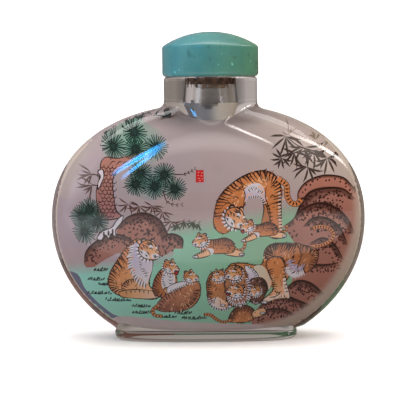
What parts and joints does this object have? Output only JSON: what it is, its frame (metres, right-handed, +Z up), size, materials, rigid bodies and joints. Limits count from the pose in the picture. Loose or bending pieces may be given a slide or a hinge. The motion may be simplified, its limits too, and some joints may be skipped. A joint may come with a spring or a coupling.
{
  "type": "snuff bottle",
  "caption": "Flattened oval glass snuff bottle with a round neck, a low foot and a painted inner wall, closed by a domed stopper on a cork.",
  "frame": {"origin": "middle of the bounding box on the plane of the foot's underside", "axes": "+Z up along the neck, +X to the right along the wide side, the painted front faces -Y"},
  "size_m": [0.076, 0.029, 0.0739],
  "materials": {
    "bottle_glass": "polished clear glass",
    "stopper_green": "polished cloudy green glass",
    "cork": "dull cork"
  },
  "bodies": {
    "root": {"bottle": "bottle_glass", "stopper_cap": "stopper_green", "stopper_cork": "cork"}
  },
  "joints": []
}
